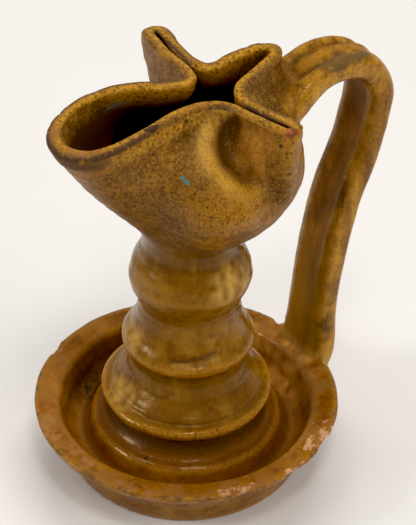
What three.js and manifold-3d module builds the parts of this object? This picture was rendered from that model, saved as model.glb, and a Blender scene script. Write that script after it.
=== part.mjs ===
// Glazed earthenware oil lamp: saucer foot, turned stem, pinched bowl and strap handle, fired as one piece.
// Millimetres, +Z up. Origin at the middle of the foot's underside, wick spout towards -Y, handle towards +Y.
import * as THREE from 'three';
import { mergeVertices } from 'three/addons/utils/BufferGeometryUtils.js';
import { ParametricGeometry } from 'three/addons/geometries/ParametricGeometry.js';
import Module from 'manifold-3d';

// Overall sizes
const SAUCER_RADIUS = 60;
const FOOT_RADIUS = 47;
const SAUCER_HEIGHT = 25;
const LIP_HEIGHT = 163;
const BOWL_WALL = 4.8;

// The stem stands a little out of true: sideways travel for each millimetre of height above the saucer
const LEAN = new THREE.Vector2(0.009, 0.012);
const LEAN_FROM = 20;

// Saucer outline as [radius, height]: foot wall, broad worn rim, well, and the ring that the stem rises from
const SAUCER_OUTLINE = [
  [FOOT_RADIUS - 1.5, 0], [FOOT_RADIUS, 1.2], [48.2, 5], [50, 12], [53.5, 18],
  [SAUCER_RADIUS - 1, 22.2], [SAUCER_RADIUS, 23.6], [SAUCER_RADIUS - 0.6, SAUCER_HEIGHT],
  [52.5, SAUCER_HEIGHT - 0.6], [50.2, 23.2], [48.6, 20], [46.5, 14],
  [43.5, 11], [41, 10.6], [39, 11.6], [37.8, 14], [36.2, 17.4], [32.6, 19.8],
];

// Stem: grooves and necks as [radius, height], and two skirted beads between them
const GROOVE = [29.2, 24.4];
const LOWER_BEAD = [33.2, 29.8];
const LOWER_NECK = [22.2, 49];
const MIDDLE_BEAD = [25.8, 56];
const UPPER_NECK = [19.6, 74.4];
const TOP_BEAD = [[21, 78.8], [22.6, 82.2], [23.2, 86.4], [21.8, 92.4], [18.9, 98.6]];
const STEM_TOP = [[17.8, 103], [17.8, 106.6]];
const STEM_CORE_TOP = 109;

// A skirted bead as shares of its overhang and of its rise to the neck above
const UNDERCUT = [[0.26, 0.44], [0.83, 0.72]];
const SKIRT = [[0.07, 0.1], [0.3, 0.22], [0.6, 0.36], [0.83, 0.55], [0.96, 0.78]];

// Cup before it was pinched: middle of the wall as [radius, height]
const CUP_OUTLINE = [
  [13, 107.6], [17.5, 110], [24, 114.2], [31, 120.6], [36, 129], [38.2, 138.5], [37.8, 150],
  [36.5, LIP_HEIGHT],
];
const CUP_FOOT_Z = 110;
const CUP_FLOOR_Z = 113;

// Middle of the pinched lip: x, y, height above the lip's level, and the angle of the cup's clay drawn there
const PINCHED_LIP = [
  // Open wick spout, right half
  [3, -56.5, -2.5, 0], [11.4, -52, -2, 14], [14, -42, -1, 30], [12.4, -28, 0, 50], [9, -13, 0, 70],
  // Right ear, pinched shut
  [9.3, -3.5, 0, 82], [14, 3.4, 0, 90], [25, 6.3, 0, 98], [35.2, 8.7, 0, 106], [38.8, 10.9, 0, 110],
  [38.4, 14.5, 0, 114], [34.6, 15.6, 0, 118], [25, 11.8, 0.3, 126], [14, 10.6, 0.6, 134],
  // Narrow back slot under the handle
  [7.2, 14, 1, 141], [4, 22, 1.6, 151], [0.5, 31, 2.4, 163], [-2, 35.8, 2.8, 172], [-5.4, 37.8, 3, 180],
  [-8.6, 35.6, 2.8, 188], [-10.2, 31, 2.4, 196], [-10.5, 22, 1.4, 207], [-11, 13.6, 0, 217],
  // Left ear, pinched shut
  [-17, 10.4, 0, 223], [-28, 11.2, 0.2, 232], [-40.8, 14.8, 0, 242], [-44.6, 13.4, -0.2, 246],
  [-45, 9.7, -0.2, 250], [-41.4, 7.5, 0, 254], [-28, 5.7, 0, 263], [-14, 4.8, 0, 270],
  // Wick spout, left half
  [-7.2, 1.4, 0, 276], [-9.2, -7.6, 0, 286], [-15, -16.5, 0, 297], [-18, -29, -0.4, 314],
  [-15.4, -43, -1.4, 332], [-7.6, -53.4, -2.4, 347],
];

// How far down the cup the pinching reaches
const PINCH_BOTTOM = 132;
const SPOUT_BULGE = 2.2;
const SPOUT_FROM = 10;
const SPOUT_FULL = 44;

// Thumb dents either side of the spout: angle and height of the middle, depth, half sizes, slope from upright
const DENT = { angle: 93, height: 145, depth: 7.5, halfWidth: 11, halfLength: 21, slope: 0.45 };

// Strap handle: middle line in the plane x = 0 as [y, z], from inside the bowl's wall, over the saucer's rim
// and into the saucer's wall below it
const HANDLE_ROUTE = [
  [33, 145], [46, 154.4], [59.5, 157.4], [72.5, 153.4], [80.2, 140], [77, 118], [69.5, 97], [64.4, 72],
  [62, 46], [61.8, 30], [58, 18.5], [47.5, 10.8],
];
const HANDLE_WIDTH = 22;
const HANDLE_THICKNESS = 11.5;
// Its ends spread where they were pressed on, and the lower end thins away
const ROOT_SPREAD = 0.2;
const ROOT_SHARE = 0.12;
const FOOT_SPREAD = 0.3;
const FOOT_FROM = 0.76;
const TAIL_FROM = 0.88;
const TAIL_THINNING = 0.62;
// Two finger grooves in its outer face, fading out past the bend
const HANDLE_GROOVES = [-3.3, 3.3];
const GROOVE_RADIUS = 2.8;
const GROOVE_DEPTH = 1.3;
const GROOVE_SHARE = 0.42;

// Facets
const STEM_SIDES = 40;
const LIP_SIDES = 86;
const WALL_ROWS = 12;
const LIP_ROWS = 4;
const HANDLE_SIDES = 26;
const HANDLE_STEPS = 24;

const wasm = await Module();
wasm.setup();

function ease(value) {
  const x = THREE.MathUtils.clamp(value, 0, 1);
  return x * x * (3 - 2 * x);
}

// Points along a smooth curve through [radius, height] stations
function smoothOutline(stations, perSpan) {
  const curve = new THREE.SplineCurve(stations.map(([r, z]) => new THREE.Vector2(r, z)));
  return curve.getPoints((stations.length - 1) * perSpan);
}

// Stations of a skirted bead between the neck below it and the neck above it
function skirtedBead(below, bead, above) {
  const lip = UNDERCUT.map(([outward, rise]) => [
    THREE.MathUtils.lerp(below[0], bead[0], outward), THREE.MathUtils.lerp(below[1], bead[1], rise)]);
  const skirt = SKIRT.map(([inward, rise]) => [
    THREE.MathUtils.lerp(bead[0], above[0], inward), THREE.MathUtils.lerp(bead[1], above[1], rise)]);
  return [...lip, bead, ...skirt];
}

// Turned body of saucer and stem, closed on its axis
function pedestalGeometry() {
  const stations = [
    ...SAUCER_OUTLINE, GROOVE, ...skirtedBead(GROOVE, LOWER_BEAD, LOWER_NECK),
    LOWER_NECK, ...skirtedBead(LOWER_NECK, MIDDLE_BEAD, UPPER_NECK), UPPER_NECK, ...TOP_BEAD, ...STEM_TOP,
  ];
  const outline = smoothOutline(stations, 1);
  const points = [
    new THREE.Vector2(0, 0), ...outline,
    new THREE.Vector2(STEM_TOP[0][0], STEM_CORE_TOP), new THREE.Vector2(0, STEM_CORE_TOP),
  ];
  return new THREE.LatheGeometry(points, STEM_SIDES).rotateX(Math.PI / 2);
}

const cupCurve = new THREE.SplineCurve(CUP_OUTLINE.map(([r, z]) => new THREE.Vector2(r, z)));
const lipCurve = new THREE.CatmullRomCurve3(
  PINCHED_LIP.map(([x, y, lift]) => new THREE.Vector3(x, y, lift)), true, 'catmullrom', 0.5);

// Clay angle as its departure from an even spread, so that it closes on itself
const clayCurve = new THREE.CatmullRomCurve3(
  PINCHED_LIP.map(([, , , angle], i) => new THREE.Vector3(angle - (360 * i) / PINCHED_LIP.length, 0, 0)),
  true, 'catmullrom', 0.5);

// Depth of the thumb dents at a clay angle in degrees and a height
function dentDepth(angle, z) {
  let depth = 0;
  for (const side of [1, -1]) {
    const middle = side > 0 ? DENT.angle : 360 - DENT.angle;
    const across = side * THREE.MathUtils.degToRad(angle - middle) * CUP_OUTLINE[5][0];
    const rise = z - DENT.height;
    const along = across * Math.sin(DENT.slope) - rise * Math.cos(DENT.slope);
    const aside = across * Math.cos(DENT.slope) + rise * Math.sin(DENT.slope);
    depth += DENT.depth * (1 - ease(Math.abs(aside) / DENT.halfWidth))
      * (1 - ease(Math.abs(along) / DENT.halfLength));
  }
  return depth;
}

// Middle of the bowl's wall: share around the lip, share up from the cup's foot to the lip
function wallMiddle(around, up) {
  const turn = THREE.MathUtils.euclideanModulo(around, 1);
  const lip = lipCurve.getPoint(turn);
  const angle = clayCurve.getPoint(turn).x + 360 * turn;
  const cup = cupCurve.getPoint(up);
  const sine = Math.sin(THREE.MathUtils.degToRad(angle));
  const cosine = -Math.cos(THREE.MathUtils.degToRad(angle));
  const pinch = ease((cup.y - PINCH_BOTTOM) / (LIP_HEIGHT - PINCH_BOTTOM));
  const round = (1 - pinch) * cup.x - dentDepth(angle, cup.y) * (1 - pinch);
  const rise = THREE.MathUtils.clamp((cup.y - CUP_FOOT_Z) / (LIP_HEIGHT - CUP_FOOT_Z), 0, 1);
  const straight = (1 - rise) * Math.min(cup.x, CUP_OUTLINE[1][0]) + SPOUT_BULGE * Math.sin(Math.PI * rise);
  const spout = ease((-lip.y - SPOUT_FROM) / (SPOUT_FULL - SPOUT_FROM));
  const radius = THREE.MathUtils.lerp(round, straight, spout);
  const share = THREE.MathUtils.lerp(pinch, rise, spout);
  return new THREE.Vector3(
    sine * radius + lip.x * share, cosine * radius + lip.y * share, cup.y + lip.z * ease(rise));
}

// Outward direction of the wall and its upward direction, from neighbouring points
function wallFrame(around, up) {
  const step = 0.004;
  const low = Math.max(up - step, 0);
  const high = Math.min(up + step, 1);
  const side = wallMiddle(around + step, up).sub(wallMiddle(around - step, up));
  const upward = wallMiddle(around, high).sub(wallMiddle(around, low)).normalize();
  const outward = new THREE.Vector3().crossVectors(side, upward).normalize();
  return { outward, upward };
}

// Skin of the bowl: from the foot up the outside, over the rounded lip and down the inside to the floor
function bowlSkin(around, along, target) {
  const rows = 2 * WALL_ROWS + LIP_ROWS;
  const row = Math.round(along * rows);
  if (row === 0) {
    target.set(0, 0, CUP_OUTLINE[0][1] - BOWL_WALL / 2);
    return;
  }
  if (row === rows) {
    target.set(0, 0, CUP_FLOOR_Z);
    return;
  }
  const outside = row <= WALL_ROWS;
  const inside = row >= WALL_ROWS + LIP_ROWS;
  let up = 1;
  if (outside) {
    up = (row - 1) / (WALL_ROWS - 1);
  }
  if (inside) {
    up = Math.max((rows - row) / WALL_ROWS, 1 / WALL_ROWS);
  }
  const { outward, upward } = wallFrame(around, up);
  const turn = Math.PI * THREE.MathUtils.clamp((row - WALL_ROWS) / LIP_ROWS, 0, 1);
  target.copy(wallMiddle(around, up));
  target.addScaledVector(outward, Math.cos(turn) * BOWL_WALL / 2);
  target.addScaledVector(upward, 0.7 * Math.sin(turn) * BOWL_WALL / 2);
}

function bowlGeometry() {
  return new ParametricGeometry(bowlSkin, LIP_SIDES, 2 * WALL_ROWS + LIP_ROWS);
}

const handleRoute = new THREE.CatmullRomCurve3(
  HANDLE_ROUTE.map(([y, z]) => new THREE.Vector3(0, y, z)), false, 'catmullrom', 0.5);

// Depth of the finger grooves at a place across the strap and a share along it
function grooveDepth(x, along) {
  const fade = 1 - ease((along / GROOVE_SHARE - 0.45) / 0.55);
  return HANDLE_GROOVES.reduce(
    (depth, middle) => depth + GROOVE_DEPTH * fade * Math.max(1 - ((x - middle) / GROOVE_RADIUS) ** 2, 0), 0);
}

// Skin of the strap: rounded section, wider than thick, with flat ends inside the bowl's wall and the saucer
function strapSkin(around, along, target) {
  const rows = HANDLE_STEPS + 2;
  const row = Math.round(along * rows);
  const share = THREE.MathUtils.clamp((row - 1) / HANDLE_STEPS, 0, 1);
  target.copy(handleRoute.getPointAt(share));
  if (row === 0 || row === rows) {
    return;
  }
  const cosine = Math.cos(2 * Math.PI * around);
  const sine = Math.sin(2 * Math.PI * around);
  const width = HANDLE_WIDTH * (1 + ROOT_SPREAD * (1 - ease(share / ROOT_SHARE))
    + FOOT_SPREAD * ease((share - FOOT_FROM) / (1 - FOOT_FROM)));
  const thickness = HANDLE_THICKNESS * (1 - TAIL_THINNING * ease((share - TAIL_FROM) / (1 - TAIL_FROM)));
  const x = -Math.sign(cosine) * Math.abs(cosine) ** 0.8 * width / 2;
  const groove = sine > 0 ? grooveDepth(x, share) : 0;
  const tangent = handleRoute.getTangentAt(share);
  const outward = new THREE.Vector3(0, -tangent.z, tangent.y);
  target.x += x;
  target.addScaledVector(outward, Math.sign(sine) * Math.abs(sine) ** 0.6 * thickness / 2 - groove);
}

function handleGeometry() {
  return new ParametricGeometry(strapSkin, HANDLE_SIDES, HANDLE_STEPS + 2);
}

// Closed mesh as a solid that can be joined and cut
function toSolid(geometry) {
  geometry.deleteAttribute('normal');
  geometry.deleteAttribute('uv');
  const merged = mergeVertices(geometry, 1e-4);
  const index = merged.index.array;
  const triangles = [];
  for (let i = 0; i < index.length; i += 3) {
    const [a, b, c] = [index[i], index[i + 1], index[i + 2]];
    if (a !== b && b !== c && c !== a) {
      triangles.push(a, b, c);
    }
  }
  const mesh = new wasm.Mesh({
    numProp: 3,
    vertProperties: new Float32Array(merged.attributes.position.array),
    triVerts: new Uint32Array(triangles),
  });
  mesh.merge();
  return new wasm.Manifold(mesh);
}

function toGeometry(solid) {
  const { vertProperties, triVerts } = solid.getMesh();
  const geometry = new THREE.BufferGeometry();
  geometry.setAttribute('position', new THREE.BufferAttribute(new Float32Array(vertProperties), 3));
  geometry.setIndex(new THREE.BufferAttribute(new Uint32Array(triVerts), 1));
  return geometry;
}

// Sideways shear that gives everything above the saucer its slight lean
function leanOver(geometry) {
  const position = geometry.attributes.position;
  for (let i = 0; i < position.count; i += 1) {
    const height = Math.max(position.getZ(i) - LEAN_FROM, 0);
    position.setX(i, position.getX(i) + LEAN.x * height);
    position.setY(i, position.getY(i) + LEAN.y * height);
  }
  geometry.computeVertexNormals();
  return geometry;
}

const body = [bowlGeometry(), handleGeometry()].reduce(
  (solid, geometry) => solid.add(toSolid(geometry)), toSolid(pedestalGeometry()));

const glaze = new THREE.MeshStandardMaterial({ color: 0x8f6526, roughness: 0.25, metalness: 0 });
const lamp = new THREE.Mesh(leanOver(toGeometry(body)), glaze);
lamp.name = 'oil_lamp';

const model = new THREE.Group();
model.add(lamp);

export default model;
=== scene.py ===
import math

import bpy
import numpy as np
from mathutils import Matrix, Vector
from mathutils.kdtree import KDTree


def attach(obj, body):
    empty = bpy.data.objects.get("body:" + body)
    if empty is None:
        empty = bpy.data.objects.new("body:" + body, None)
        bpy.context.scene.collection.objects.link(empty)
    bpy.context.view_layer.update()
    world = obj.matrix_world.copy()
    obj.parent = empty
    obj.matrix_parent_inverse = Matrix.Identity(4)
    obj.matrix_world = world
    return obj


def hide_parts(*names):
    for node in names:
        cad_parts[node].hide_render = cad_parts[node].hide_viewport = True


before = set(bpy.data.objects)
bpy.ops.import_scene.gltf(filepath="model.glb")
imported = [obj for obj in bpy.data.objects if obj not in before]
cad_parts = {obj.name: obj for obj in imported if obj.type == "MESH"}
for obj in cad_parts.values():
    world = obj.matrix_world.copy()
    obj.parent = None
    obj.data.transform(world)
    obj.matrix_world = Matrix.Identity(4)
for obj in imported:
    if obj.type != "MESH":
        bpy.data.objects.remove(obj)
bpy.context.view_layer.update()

# Sizes are in millimetres and degrees, and become metres when a mesh is made
MM = 0.001

# Lean of everything above the saucer, as sideways travel for each millimetre of height
LEAN = (0.009, 0.012, 0)
LEAN_FROM = 20

# Saucer outline as (radius, height): hollowed underside, foot wall, broad rim, well, ring under the stem
UNDERSIDE = [(2, 1), (24, 0.9), (38, 0.6), (42.4, 0.15), (44, 0)]
SAUCER_RADIUS = 60
SAUCER_HEIGHT = 25
SAUCER_OUTLINE = [
    (45.5, 0), (47, 1.2), (48.2, 5), (50, 12), (53.5, 18), (59, 22.2), (SAUCER_RADIUS, 23.6),
    (59.4, SAUCER_HEIGHT), (52.5, 24.4), (50.2, 23.2), (48.6, 20), (46.5, 14), (43.5, 11), (41, 10.6),
    (39.2, 11.6), (38.2, 14.4), (37.2, 16.7), (35.6, 18.2), (32.6, 19.7),
]

# Stem as (radius, height): grooves and necks, with skirted beads between them
GROOVE = (29.2, 24.4)
LOWER_BEAD = (33.3, 30.6)
LOWER_NECK = (22.2, 49)
MIDDLE_BEAD = (25.8, 56)
UPPER_NECK = (19.6, 74.4)
TOP_BEAD = [(21, 78.8), (22.6, 82.2), (23.2, 86.4), (21.8, 92.4), (18.9, 98.6)]
STEM_TOP = (17.8, 103)
# A bead's undercut and skirt as shares of the way out and up
UNDERCUT = [(0.26, 0.44), (0.83, 0.72)]
SKIRT = [(0.07, 0.1), (0.3, 0.22), (0.6, 0.36), (0.83, 0.55), (0.96, 0.78)]
# Turned lines within the stem's reach: height, half width, rise of the surface
STEM_REACH = 34.6
TURNED_LINES = [
    (34.1, 1.5, -1.4), (31.9, 1.2, 0.7), (58.4, 1, -0.25), (76.6, 1.2, -0.2), (96, 1.5, -0.2),
]
# Height from which the columns of points turn to follow the drawn clay, and the distance that takes
DRAWN_Z = (60, 40)

# Cup before it was pinched: middle of the wall as (radius, height)
LIP_HEIGHT = 163
BOWL_WALL = 4.8
CUP_OUTLINE = [
    (13, 107.6), (17.5, 110), (24, 114.2), (31, 120.6), (36, 129), (38.2, 138.5), (37.8, 150),
    (36.5, LIP_HEIGHT),
]
CUP_FOOT_Z = 110
CUP_FLOOR_Z = 113
CUP_BELLY_RADIUS = 38.2

# Middle of the pinched lip: x, y, height above the lip's level, and the angle of the clay drawn there
PINCHED_LIP = [
    # Open wick spout, right half
    (3, -56.5, -2.5, 0), (11.4, -52, -2, 14), (14, -42, -1, 30), (12.4, -28, 0, 50), (9, -13, 0, 70),
    # Right ear, pinched shut
    (9.3, -3.5, 0, 82), (14, 3.4, 0, 90), (25, 6.3, 0, 98), (35.2, 8.9, 0, 106), (38.8, 10.9, 0, 110),
    (38.4, 14.4, 0, 114), (34.6, 15.4, 0, 118), (25, 11.8, 0.3, 126), (14, 10.6, 0.6, 134),
    # Narrow back slot under the handle
    (7.2, 14, 1, 141), (4, 22, 1.6, 151), (0.5, 31, 2.4, 163), (-2, 35.8, 2.8, 172), (-5.4, 37.8, 3, 180),
    (-8.6, 35.6, 2.8, 188), (-10.2, 31, 2.4, 196), (-10.5, 22, 1.4, 207), (-11, 13.6, 0, 217),
    # Left ear, pinched shut
    (-17, 10.4, 0, 223), (-28, 11.2, 0.2, 232), (-40.8, 14.3, 0, 242), (-44.5, 13.3, -0.2, 246),
    (-44.9, 9.8, -0.2, 250), (-41.4, 8, 0, 254), (-28, 5.7, 0, 263), (-14, 4.8, 0, 270),
    # Wick spout, left half
    (-7.2, 1.4, 0, 276), (-9.2, -7.6, 0, 286), (-15, -16.5, 0, 297), (-18, -29, -0.4, 314),
    (-15.4, -43, -1.4, 332), (-7.6, -53.4, -2.4, 347),
]
PINCH_Z = (132, 31)
SPOUT_BULGE = 2.2
SPOUT_Y = (10, 34)
DENT = {"angle": 93, "height": 145, "depth": 7.5, "half_width": 11, "half_length": 21, "slope": 0.45}
# Rounding of the lip: powers that square its sides and crown, its rise, and the share that faces outwards
LIP = {"side_power": 0.6, "crown_power": 0.7, "rise": 0.7, "outer": 0.47}

# Thumb press beside the spout: its middle, then places across and up from it in the plane of the photograph
PRESS_MIDDLE = (29.7, 5.1, 150)
PRESS_EDGE = {"middle": (1, 4.4), "reach": (13.6, 13), "drop": (0.91, 0.09)}
PRESS_DEPTH = 3.2
PRESS_LEFT_HALF = (-8, 17)
PRESS_HOLLOW = {"across": (2, 7), "up": (0, 10), "depth": 1.2}
PRESS_RIDGE = {"past_edge": (3.2, 3.4), "rise": 1.7}
PRESS_CREASE = (-1.6, 1.8)
PRESS_COLUMN = {"across": (14, 3.8), "up": (-12, 5, 7), "rise": 1.5}
PRESS_CHANNEL = {"from": (6.5, -7), "to": (11.5, -20), "width": 3.6, "depth": 1.5}
PRESS_FOLD = {"from": (-1, 4), "to": (4, -7), "width": 1.5, "depth": -0.8}
PRESS_FLOOR = {"across": (1, 9), "edge": (0.8, 0.2)}
PRESS_NEARNESS = (-14, 14, 5)
PRESS_SOFT_EDGE = (1.2, 0.3)
PRESS_SOFT_PASSES = 2
# Unevenness of its floor and of its lines: size, seed, rise
PRESS_FLOOR_GRAIN = (5, 31, 0.25)
PRESS_LINE_GRAIN = (4, 32, 0.6)

# Strap handle: middle line in the plane x = 0 as (y, z), section, grooves outside and hollow inside
HANDLE_ROUTE = [
    (33, 145), (46, 154.4), (59.5, 157.4), (72.5, 153.4), (80.2, 140), (77, 118), (69.5, 97), (64.4, 72),
    (62, 46), (61.8, 30), (58, 18.5), (47.5, 10.8),
]
HANDLE_WIDTH = 22
HANDLE_THICKNESS = 11.5
STRAP_EDGE_POWER = 0.7
STRAP_FACE_POWER = 0.55
ROOT_SPREAD = 0.2
FOOT_SPREAD = 0.3
TAIL_THINNING = 0.62
HANDLE_GROOVES = (-3.6, 3.6)
GROOVE_RADIUS = 2.6
GROOVE_DEPTH = 2.2
INNER_HOLLOW = 1.2
INNER_HALF_WIDTH = 6.5
# Shares of the way along it: where each change begins, and the distance that it takes
ROOT_ENDS = (0, 0.12)
FOOT_SPREADS = (0.76, 0.24)
TAIL_THINS = (0.88, 0.12)
GROOVES_END = (0.2025, 0.2475)
INNER_SPAN = (0.15, 0.8, 0.1)

# Uneven skin: size, seed, rise
SKIN_GRAIN = [(24, 1, 0.3), (7, 2, 0.14), (2.8, 3, 0.07)]
STRAP_GRAIN = (11, 6, 0.25)
# Throwing ripples, and the relief of the foot, of the collar and of the groove inside the lip
THROWING = {"rise": 0.1, "pitch": 5.3, "drift": (30, 4, 2)}
FLAT_FOOT = 3
COLLAR_RISE = 0.45
LIP_GROOVE = {"rows": 3, "width": 1.2, "depth": 0.6}

# Broken places: patches of the rim as (angle, half angle, radius, half width, seed), nicks, scar of a bead
RIM_CHIPS = [
    (119.5, 11, 57.8, 5, 11), (76.2, 11, 58.4, 3.4, 12), (99, 6, 59, 2, 13), (-62, 7, 58.8, 2.2, 14),
]
RIM_WEAR = [(-15, 13, 56.4, 5, 15), (8, 9, 54.5, 4, 16), (38, 12, 57.5, 3, 17)]
CHIP_DEPTH = 0.9
EAR_CHIP_DEPTH = 0.7
NICKS = {"grain": (3.2, 5), "above": 0.1, "depth": 0.6}
SCAR = {
    "from": 38, "to": 84, "ends": (0.05, 0.95, 0.12), "within": 30, "height": 60.2, "rise": 2.6,
    "edge": 1.2, "deep": 1.1, "tall": 4.5, "lip": 0.5, "lip_width": 1.1, "line": (0.3, 0.7),
    "grain": (4, 24, 0.4),
}

# Patches of glaze and wear, and of painted light and painted shade: middle, reach, and the seed of the
# ragged edge
EAR_CHIP = ((39.6, 11.4, 163.2), (4.4, 5, 3.4), 21)
EAR_PITS = ((40, 12, 154), (8, 8, 13), 22)
STRAP_STAIN = ((8, 61, 163), (7, 19, 6), 23)
# Painted light on the right of the top bead, and painted sheen on the left of the lower and middle beads
PAINTED_LIGHT_SPOTS = [
    ((21, 5, 92), (11, 13, 12), 25), ((-6, -29, 35), (12, 9, 8), 25), ((-5, -22, 60), (10, 8, 7), 25),
]
WELL_DIRT = ((-38, -22, 12), (12, 15, 10), 28)
# Painted light on the back of the saucer's well, inner wall and rim
PAINTED_LIGHT_WELL = ((0, 48, 18), (32, 13, 16), 29)
STRAP_SCUFFS = [((12, 63, 57), (5, 6, 12), 30), ((12, 60.5, 40), (5, 6, 11), 30)]
# A golden streak on the strap's top, and painted light on the strap's root by the bowl
STRAP_GOLD_AND_LIGHT = [((12.5, 57, 157), (4, 17, 4), 33), ((11.5, 40.5, 155), (6, 8, 8), 33)]
# Painted shade on the left side of the saucer's well
WELL_SHADE = ((-38, -14, 12), (18, 40, 13), 34)
# How ragged a patch's edge is, and the size of its raggedness
PATCH_ROUGH = 0.35
EAR_CHIP_ROUGH = 0.15
PATCH_GRAIN = 2.5
RIM_PATCH_ROUGH = 0.6
RIM_PATCH_GRAIN = 2.6
RIM_PATCH_EDGE = (0.5, 0.5)

# Closed seams of the ears as straight lines in plan
EAR_SEAMS = [((-15, 8), (-43, 11.6)), ((17, 7.6), (37.5, 12.6))]
SEAM_WIDTH = 1.9

# Borders of regions: where each begins, and the distance over which it turns
BOWL_Z = (104, 8)
SAUCER_Z = (22, 8)
UNDERSIDE_Z = (0.6, 1.2)
RIM_RADIUS = (48, 3)
RIM_Z = (20, 3)
RIM_PATCH_Z = (19, 2)
RIM_EDGE_RADIUS = (58, 1.4)
RIM_EDGE_Z = (19, 3)
OUTER_RADIUS = (46, 2)
OUTER_Z = (19, 3)
RING_RADIUS = (36, 3)
RING_Z = (21, 4)
# Height below which the strap gets painted light
STRAP_PAINTED_LIGHT_Z = (40, 50)
STRAP_INNER_X = (INNER_HALF_WIDTH - 2, 3)
SEAM_Z = (158, 3)
# Depth inside the bowl from which its glaze turns darker
INSIDE_DEPTH_Z = (136, 24)
EAR_X = (17, 4)
# Bands: low end, high end and the distance over which they fade, as angles, rows below the lip or radii
FRONT_ANGLES = (-80, 62, 24)
COLLAR_ROWS = (0, 4, 1)
TIP_ANGLES = (-75, 22, 14)
SINGED_ANGLES = (-40, 15, 10)
SINGED_ROWS = (0, 3, 1.5)
BEAD_LIP_RADII = (30, 35, 2)
# Peaks: middle and width
BEAD_LIP_Z = (28.5, 3)
# Painted shade: peaks in the groove under the lower bead and at the corner of the well's floor
BASE_GROOVE_Z = (23.4, 3)
WELL_CORNER_RADIUS = (40.4, 1.6)
# Painted shade under the bowl where it meets the stem, and darker glaze on the bowl's lower part
STEM_NECK_Z = (101, 4.5)
BOWL_FOOT_Z = (116, 9)
# Limits: greatest radius, height and y, and the way that the strap's inner face looks
BASE_GROOVE_WITHIN = 33.4
WELL_CORNER_BELOW = 14
FRONT_Y = 2
STRAP_INNER_FACING = -0.3
# Noise that breaks up the scorching of the lip
LIP_PATCHES = (9, 27)
LIP_PATCHES_FROM = (-0.25, 0.5)
# Hollows of the finished skin, found by smoothing it, and the depth that counts as full
HOLLOW_PASSES = 24
HOLLOW_DEPTH = 1.2

# Mesh density
COLUMNS = 300
STATION_SAMPLES = 40
OUTLINE_SPACING = 1
UNDERSIDE_SPACING = 5
OUTSIDE_ROWS = 58
LIP_ROWS = 9
INSIDE_ROWS = 34
FLOOR_ROWS = 6
BOWL_FROM = 0.16
INSIDE_FROM = 0.085
JOIN_ROWS = 4
JOIN_PASSES = 8
STRAP_SIDES = 64
STRAP_STEPS = 190
ROUTE_SPACING = 0.25
SEAM_GAP = 0.02
FILLET_RADIUS = 6
FILLET_PASSES = 60

# Photograph: camera turned about the lamp, with its focal length in pixels
VIEW_TURN = 54
VIEW_RISE = 36.7
VIEW_DISTANCE = 650
VIEW_TARGET = (7.58, 89.5)
VIEW_ROLL = 1.34
FOCAL_PIXELS = 1736
PHOTO_HEIGHT = 525
SENSOR_HEIGHT = 36
BLACK_POINT = (0.006, 0.006, 0.006)

# Stage in metres and watts. A light: turn from the camera, rise, distance, width, height, power, mirrored
LIGHTS = {
    "softbox_left": (-78, 26, 1, 0.25, 0.25, 3.3, True),
    "softbox_top": (12, 66, 1, 0.2, 0.2, 2, True),
    "softbox_high": (-72, 62, 1, 0.15, 0.15, 0.6, True),
    "softbox_right": (60, 27, 1, 0.8, 0.5, 4.9, False),
    "softbox_back": (176, 52, 1.3, 1, 0.7, 10, False),
}
LIGHT_TARGET = (0, 0, 0.09)
STUDIO_COLOUR = (1, 0.98, 0.95, 1)
STUDIO_STRENGTH = 0.345
FLOOR_HALF = 3
FLOOR_COLOUR = (0.765, 0.735, 0.70, 1)
FLOOR_ROUGHNESS = 0.7

# Large numbers that scramble a noise cell's place and seed
CELL_FACTORS = (374761393, 668265263, 1274126177)
SEED_FACTOR = 974711
MIX_FACTOR = 1103515245


# Curves and noise

def ease(value):
    x = np.clip(value, 0, 1)
    return x * x * (3 - 2 * x)


def lerp(a, b, share):
    return a + (b - a) * share


def beyond(value, border):
    """0 up to where a border begins, rising to 1 over its distance."""
    return ease((value - border[0]) / border[1])


def window(value, low, high, soft):
    """1 between low and high, falling to 0 over soft beyond them."""
    return ease((value - low + soft) / soft) * (1 - ease((value - high) / soft))


def bell(value, middle, width):
    return np.exp(-((value - middle) / width) ** 2)


def hump(value, reach):
    return np.maximum(1 - (value / reach) ** 2, 0)


def strongest(masks):
    return np.max(list(masks), axis=0)


def unit(vectors):
    return vectors / np.linalg.norm(vectors, axis=-1, keepdims=True)


def resample(at, positions, points):
    """Points read off a polyline at positions along it."""
    return np.stack([np.interp(at, positions, values) for values in points.T], -1)


def spline(stations, share, closed=False):
    """Points at shares of the way along a smooth curve through the stations."""
    points = np.asarray(stations, float)
    count = len(points)
    if closed:
        position = np.mod(share, 1) * count
        first = np.floor(position).astype(int)
        near = [points[(first + k) % count] for k in (-1, 0, 1, 2)]
    else:
        position = np.clip(share, 0, 1) * (count - 1)
        first = np.minimum(np.floor(position).astype(int), count - 2)
        ends = np.vstack([2 * points[0] - points[1], points, 2 * points[-1] - points[-2]])
        near = [ends[first + k] for k in range(4)]
    t = (position - first)[..., None]
    before = (near[2] - near[0]) / 2
    after = (near[3] - near[1]) / 2
    cubic = 2 * near[1] - 2 * near[2] + before + after
    square = -3 * near[1] + 3 * near[2] - 2 * before - after
    return ((cubic * t + square) * t + before) * t + near[1]


def even_points(stations, spacing):
    """Points at an even spacing along a smooth curve through the stations."""
    dense = spline(stations, np.linspace(0, 1, STATION_SAMPLES * len(stations)))
    length = np.concatenate([[0], np.cumsum(np.linalg.norm(np.diff(dense, axis=0), axis=1))])
    at = np.linspace(0, length[-1], int(round(length[-1] / spacing)) + 1)
    return resample(at, length, dense)


def lattice(cells, seed):
    """Repeatable value from 0 to 1 for each whole-number cell."""
    mixed = (cells @ CELL_FACTORS + seed * SEED_FACTOR) & 0xFFFFFFFF
    for shift in (13, 16):
        mixed = ((mixed ^ (mixed >> shift)) * MIX_FACTOR) & 0xFFFFFFFF
    return ((mixed >> 8) & 0xFFFF) / 0xFFFF


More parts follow.
